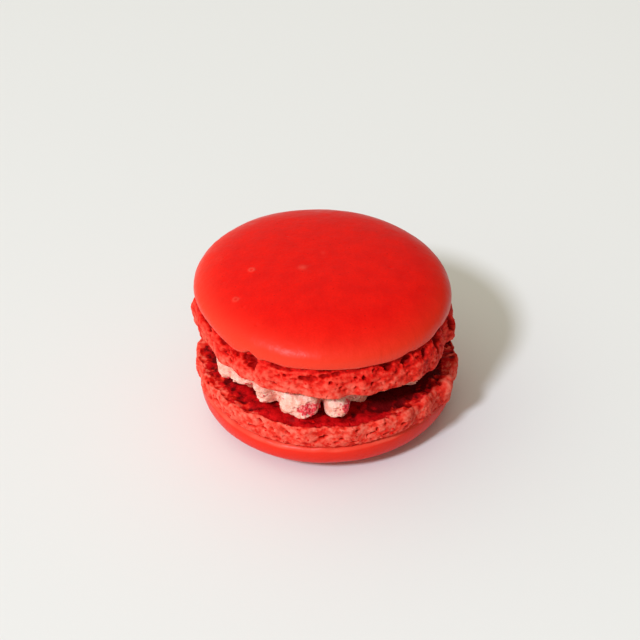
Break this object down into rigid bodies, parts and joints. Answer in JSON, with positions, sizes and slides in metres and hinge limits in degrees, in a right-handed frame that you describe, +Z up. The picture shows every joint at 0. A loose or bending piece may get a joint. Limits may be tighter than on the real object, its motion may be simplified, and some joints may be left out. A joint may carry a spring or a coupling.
{
  "type": "french macaron",
  "caption": "Round sandwich of crisp almond meringue shells, each a smooth dome over a ruffled foot, with a lumpy cream layer between them.",
  "frame": {"origin": "on the surface the macaron stands on, under the middle of its bounding box", "axes": "+Z up through both domes, -Y towards the side where the cream bulges out"},
  "size_m": [0.0468, 0.0468, 0.0307],
  "materials": {
    "shell": "baked almond meringue dyed red: a smooth satin cap and a porous, ruffled foot",
    "cream": "pale pink raspberry buttercream, soft and slightly moist, with bits of red fruit"
  },
  "bodies": {
    "root": {"upper_shell": "shell", "filling": "cream", "lower_shell": "shell"}
  },
  "joints": []
}
